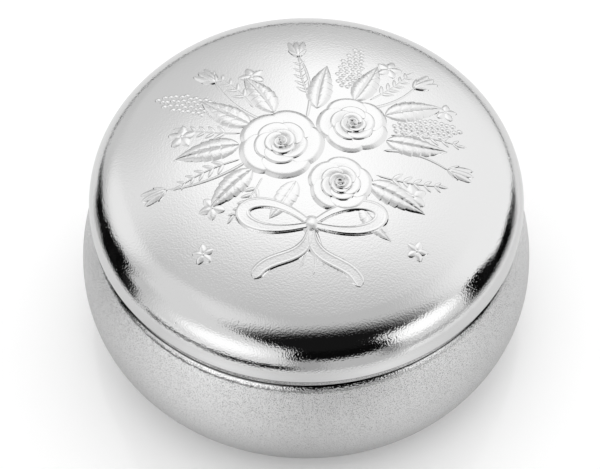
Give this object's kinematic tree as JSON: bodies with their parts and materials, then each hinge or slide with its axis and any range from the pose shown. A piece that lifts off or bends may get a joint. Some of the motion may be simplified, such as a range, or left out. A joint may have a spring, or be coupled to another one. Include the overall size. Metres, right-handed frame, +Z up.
{
  "type": "pewter jewelry box",
  "caption": "Round pewter jewelry box with a bellied bowl, a velvet lining and a domed relief lid that lifts off a collar in the mouth.",
  "frame": {"origin": "centre of the foot, on the table", "axes": "+Z up along the axis of the bowl and lid, -Y towards the viewer of the picture, +X to the right"},
  "size_m": [0.0924, 0.0924, 0.0521],
  "materials": {
    "polished_pewter": "polished over a fine cast grain",
    "frosted_pewter": "frosted satin",
    "grey_board": "matt",
    "cotton_wadding": "soft matt",
    "blue_velvet": "short pile"
  },
  "bodies": {
    "base": {"base_bowl": "frosted_pewter", "seat_collar": "polished_pewter", "wall_card": "grey_board", "wall_velvet": "blue_velvet", "floor_card": "grey_board", "floor_wadding": "cotton_wadding", "floor_velvet": "blue_velvet"},
    "lid": {"lid_shell": "polished_pewter", "lid_card": "grey_board", "lid_velvet": "blue_velvet"}
  },
  "joints": [
    {"name": "lid_lift", "type": "slide", "parent": "base", "child": "lid", "axis": [0, 0, 1], "range_m": [0, 0.06]}
  ]
}
